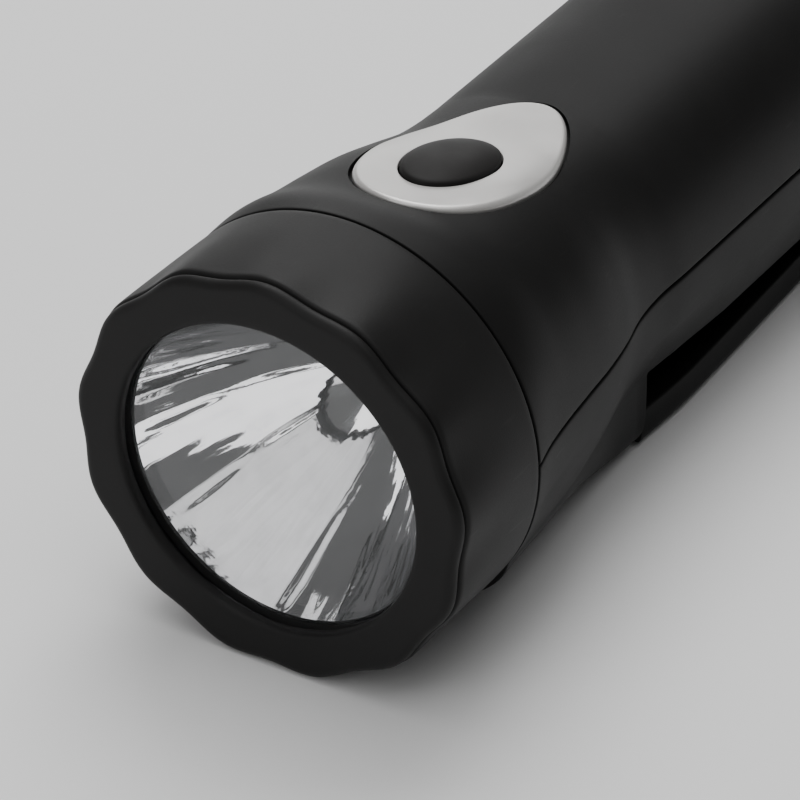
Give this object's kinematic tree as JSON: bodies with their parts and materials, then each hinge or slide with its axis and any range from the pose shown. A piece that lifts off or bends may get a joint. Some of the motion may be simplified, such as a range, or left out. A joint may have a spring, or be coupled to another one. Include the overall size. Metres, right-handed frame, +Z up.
{
  "type": "hand crank flashlight",
  "caption": "Black plastic torch with scalloped bezel, streaky reflector, silver button plate and a folding crank under the handle that drives a geared generator.",
  "frame": {"origin": "on the ground under the middle of the torch, as it lies on its side with the crank below", "axes": "+Y from the bezel to the tail, +Z up through the button plate, +X to the right as seen from behind"},
  "size_m": [0.0556, 0.16, 0.0555],
  "materials": {
    "bezel_plastic": "satin moulded black plastic",
    "body_plastic": "matte moulded black plastic",
    "knob_plastic": "matte moulded black plastic",
    "inner_plastic": "plain moulded dark grey plastic",
    "black_rubber": "matt black rubber",
    "button_rubber": "matt black rubber with a fine grain",
    "clear_lens": "clear polished plastic",
    "reflector_chrome": "vacuum metallised, streaky facets",
    "lamp_glass": "clear dome over a yellow chip",
    "plate_silver": "satin silver paint",
    "board_aluminium": "white coated metal board",
    "heat_sink_aluminium": "bare turned aluminium",
    "screw_steel": "plated steel",
    "shaft_steel": "ground steel",
    "stator_steel": "plated pressed steel",
    "bush_brass": "turned brass",
    "coil_copper": "enamelled copper",
    "magnet_ferrite": "dark ferrite",
    "gear_nylon": "cream moulded nylon",
    "board_green": "green circuit board",
    "component_sleeve": "dark plastic sleeve",
    "cell_nickel": "nickel plated steel",
    "wire_cover": "red wire cover"
  },
  "bodies": {
    "root": {"reflector": "reflector_chrome", "led_emitter": "lamp_glass", "led_board": "board_aluminium", "led_heat_sink": "heat_sink_aluminium", "upper_shell": "body_plastic", "lower_shell": "body_plastic", "switch_plate": "plate_silver", "shell_screw_1": "screw_steel", "shell_screw_2": "screw_steel", "shell_screw_3": "screw_steel", "shell_screw_4": "screw_steel", "switch_housing": "inner_plastic", "control_board": "board_green", "storage_capacitor": "component_sleeve", "rectifier_bridge": "component_sleeve", "board_screw_1": "screw_steel", "board_screw_2": "screw_steel", "battery_tray": "inner_plastic", "battery_cell_1": "cell_nickel", "battery_cell_2": "cell_nickel", "battery_cell_3": "cell_nickel", "battery_wire": "wire_cover", "led_wire": "wire_cover", "generator_wire": "wire_cover", "crank_bush": "bush_brass", "gear_axle_1": "shaft_steel", "gear_axle_2": "shaft_steel", "gearbox_plate": "inner_plastic", "gearbox_screw_1": "screw_steel", "gearbox_screw_2": "screw_steel", "gearbox_screw_3": "screw_steel", "gearbox_screw_4": "screw_steel", "stator_cup_lower": "stator_steel", "stator_cup_upper": "stator_steel", "stator_coil": "coil_copper"},
    "bezel": {"bezel_ring": "bezel_plastic", "lens": "clear_lens", "lens_gasket": "black_rubber"},
    "button": {"switch_button": "button_rubber", "switch_plunger": "inner_plastic"},
    "crank": {"crank_arm": "body_plastic", "crank_shaft": "shaft_steel", "crank_gear": "gear_nylon", "crank_screw": "screw_steel", "knob_pin": "shaft_steel"},
    "knob_post": {"knob_post": "inner_plastic", "knob_cap": "body_plastic"},
    "knob": {"knob_sleeve": "knob_plastic"},
    "gear_1": {"compound_gear_1": "gear_nylon"},
    "gear_2": {"compound_gear_2": "gear_nylon"},
    "rotor": {"rotor_pinion": "bush_brass", "rotor_shaft": "shaft_steel", "rotor_magnet": "magnet_ferrite"}
  },
  "joints": [
    {"name": "bezel_turn", "type": "hinge", "parent": "root", "child": "bezel", "pos_m": [0, -0.07, 0.0274], "axis": [0, -1, 0], "range_deg": [0, 90]},
    {"name": "button_press", "type": "slide", "parent": "root", "child": "button", "axis": [0, -0.1873, -0.9823], "range_m": [0, 0.0012], "stiffness_N_per_m": 1500},
    {"name": "crank_spin", "type": "hinge", "parent": "root", "child": "crank", "pos_m": [0, 0.051, 0.006], "axis": [0, 0, 1], "continuous": true},
    {"name": "gear_1_spin", "type": "hinge", "parent": "root", "child": "gear_1", "pos_m": [0, 0.033, 0.02], "axis": [0, 0, 1], "continuous": true},
    {"name": "gear_2_spin", "type": "hinge", "parent": "root", "child": "gear_2", "pos_m": [0, 0.018, 0.02], "axis": [0, 0, 1], "continuous": true},
    {"name": "rotor_spin", "type": "hinge", "parent": "root", "child": "rotor", "pos_m": [0, 0.00375, 0.03], "axis": [0, 0, 1], "continuous": true},
    {"name": "knob_fold", "type": "hinge", "parent": "crank", "child": "knob_post", "pos_m": [0, -0.0083, 0.0031], "axis": [-1, 0, 0], "range_deg": [0, 90]},
    {"name": "knob_spin", "type": "hinge", "parent": "knob_post", "child": "knob", "pos_m": [0, 0.01, 0.0062], "axis": [0, 1, 0], "continuous": true}
  ],
  "couplings": [
    {"joint": "gear_1_spin", "follows": "crank_spin", "ratio": -3},
    {"joint": "gear_2_spin", "follows": "crank_spin", "ratio": 9},
    {"joint": "rotor_spin", "follows": "crank_spin", "ratio": -25.2}
  ]
}
